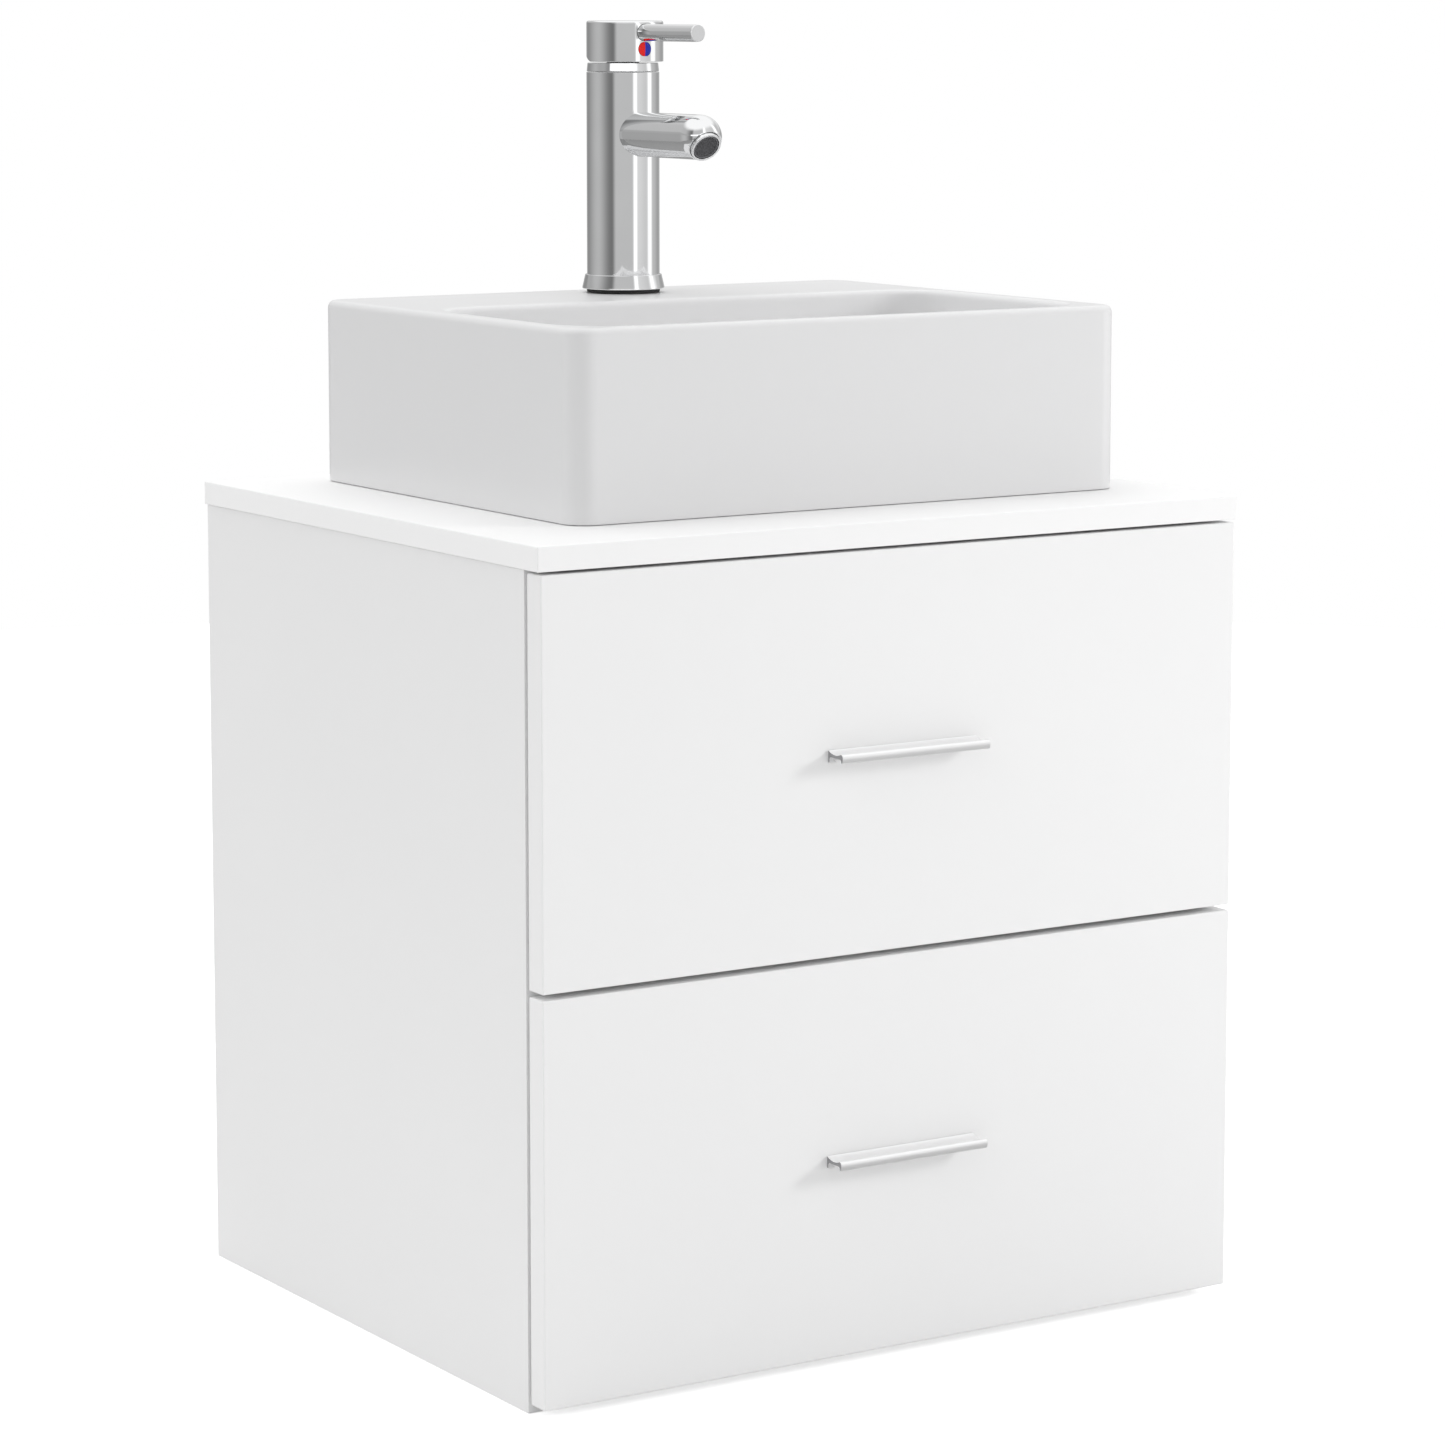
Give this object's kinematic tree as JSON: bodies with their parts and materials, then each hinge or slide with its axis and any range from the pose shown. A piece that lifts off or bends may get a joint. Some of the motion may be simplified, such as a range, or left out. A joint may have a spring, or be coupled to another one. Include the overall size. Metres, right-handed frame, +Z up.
{
  "type": "vessel sink on vanity",
  "caption": "Rectangular vessel basin with a pin-lever mixer tap on a white wall-hung vanity with sliding drawers, a click waste and a bottle trap.",
  "frame": {"origin": "below the middle of the object's box, on the plane of the cabinet's underside", "axes": "+Z up, +Y towards the wall, +X to the right seen from the front"},
  "size_m": [0.504, 0.44, 0.8028],
  "materials": {
    "carcass_board": "white melamine-faced board, matt",
    "drawer_front": "white lacquered board, satin",
    "countertop_board": "white lacquered board, satin",
    "drawer_board": "white melamine-faced board, matt",
    "handle_metal": "bright satin anodised",
    "zinc_steel": "zinc plated",
    "runner_steel": "zinc plated",
    "glazed_ceramic": "white glaze, glossy",
    "chrome": "polished",
    "black_rubber": "matt",
    "grey_plastic": "matt",
    "white_plastic": "semi-gloss",
    "temperature_marker": "red and blue halves",
    "aerator_screen": "dark grey mesh"
  },
  "bodies": {
    "cabinet": {"left_side_panel": "carcass_board", "right_side_panel": "carcass_board", "bottom_panel": "carcass_board", "front_top_rail": "carcass_board", "back_top_rail": "carcass_board", "back_bottom_rail": "carcass_board", "countertop": "countertop_board", "left_wall_hanger": "zinc_steel", "right_wall_hanger": "zinc_steel", "upper_left_runner_cabinet_member": "runner_steel", "upper_right_runner_cabinet_member": "runner_steel", "lower_left_runner_cabinet_member": "runner_steel", "lower_right_runner_cabinet_member": "runner_steel", "basin": "glazed_ceramic", "waste_body": "chrome", "waste_lock_nut": "white_plastic", "trap_body": "white_plastic", "trap_cup": "white_plastic", "trap_inlet_nut": "white_plastic", "trap_outlet_pipe": "white_plastic", "tap_gasket": "black_rubber", "tap_base_ring": "chrome", "tap_body": "chrome", "tap_trim_ring": "chrome", "tap_cartridge": "grey_plastic", "tap_aerator": "chrome", "tap_aerator_screen": "aerator_screen", "tap_stud": "zinc_steel", "tap_clamp_plate": "zinc_steel", "tap_stud_nut": "zinc_steel"},
    "upper_drawer": {"upper_drawer_front": "drawer_front", "upper_drawer_left_side": "drawer_board", "upper_drawer_right_side": "drawer_board", "upper_drawer_back": "drawer_board", "upper_drawer_bottom": "drawer_board", "upper_drawer_handle": "handle_metal", "upper_drawer_handle_left_screw": "zinc_steel", "upper_drawer_handle_right_screw": "zinc_steel", "upper_left_runner_drawer_member": "runner_steel", "upper_right_runner_drawer_member": "runner_steel"},
    "upper_left_runner": {"upper_left_runner_middle_member": "runner_steel"},
    "upper_right_runner": {"upper_right_runner_middle_member": "runner_steel"},
    "lower_drawer": {"lower_drawer_front": "drawer_front", "lower_drawer_left_side": "drawer_board", "lower_drawer_right_side": "drawer_board", "lower_drawer_back": "drawer_board", "lower_drawer_bottom": "drawer_board", "lower_drawer_handle": "handle_metal", "lower_drawer_handle_left_screw": "zinc_steel", "lower_drawer_handle_right_screw": "zinc_steel", "lower_left_runner_drawer_member": "runner_steel", "lower_right_runner_drawer_member": "runner_steel"},
    "lower_left_runner": {"lower_left_runner_middle_member": "runner_steel"},
    "lower_right_runner": {"lower_right_runner_middle_member": "runner_steel"},
    "tap_carrier": {"tap_cartridge_carrier": "white_plastic"},
    "tap_lever": {"tap_lever_cap": "chrome", "tap_lever_pin": "chrome", "tap_lever_stem": "grey_plastic", "tap_temperature_disc": "temperature_marker"},
    "waste_plug": {"waste_plug": "chrome"}
  },
  "joints": [
    {"name": "upper_drawer_slide", "type": "slide", "parent": "cabinet", "child": "upper_drawer", "axis": [0, -1, 0], "range_m": [0, 0.3]},
    {"name": "lower_drawer_slide", "type": "slide", "parent": "cabinet", "child": "lower_drawer", "axis": [0, -1, 0], "range_m": [0, 0.3]},
    {"name": "upper_left_runner_slide", "type": "slide", "parent": "cabinet", "child": "upper_left_runner", "axis": [0, -1, 0], "range_m": [0, 0.15]},
    {"name": "upper_right_runner_slide", "type": "slide", "parent": "cabinet", "child": "upper_right_runner", "axis": [0, -1, 0], "range_m": [0, 0.15]},
    {"name": "lower_left_runner_slide", "type": "slide", "parent": "cabinet", "child": "lower_left_runner", "axis": [0, -1, 0], "range_m": [0, 0.15]},
    {"name": "lower_right_runner_slide", "type": "slide", "parent": "cabinet", "child": "lower_right_runner", "axis": [0, -1, 0], "range_m": [0, 0.15]},
    {"name": "tap_swivel", "type": "hinge", "parent": "cabinet", "child": "tap_carrier", "pos_m": [0.0185, 0.147, 0.775], "axis": [0, 0, 1], "range_deg": [-45, 45]},
    {"name": "tap_lift", "type": "hinge", "parent": "tap_carrier", "child": "tap_lever", "pos_m": [0.0185, 0.147, 0.775], "axis": [-1, 0, 0], "range_deg": [0, 20]},
    {"name": "waste_plug_slide", "type": "slide", "parent": "cabinet", "child": "waste_plug", "axis": [0, 0, 1], "range_m": [0, 0.008]}
  ],
  "couplings": [
    {"joint": "upper_left_runner_slide", "follows": "upper_drawer_slide", "ratio": 0.5},
    {"joint": "upper_right_runner_slide", "follows": "upper_drawer_slide", "ratio": 0.5},
    {"joint": "lower_left_runner_slide", "follows": "lower_drawer_slide", "ratio": 0.5},
    {"joint": "lower_right_runner_slide", "follows": "lower_drawer_slide", "ratio": 0.5}
  ]
}
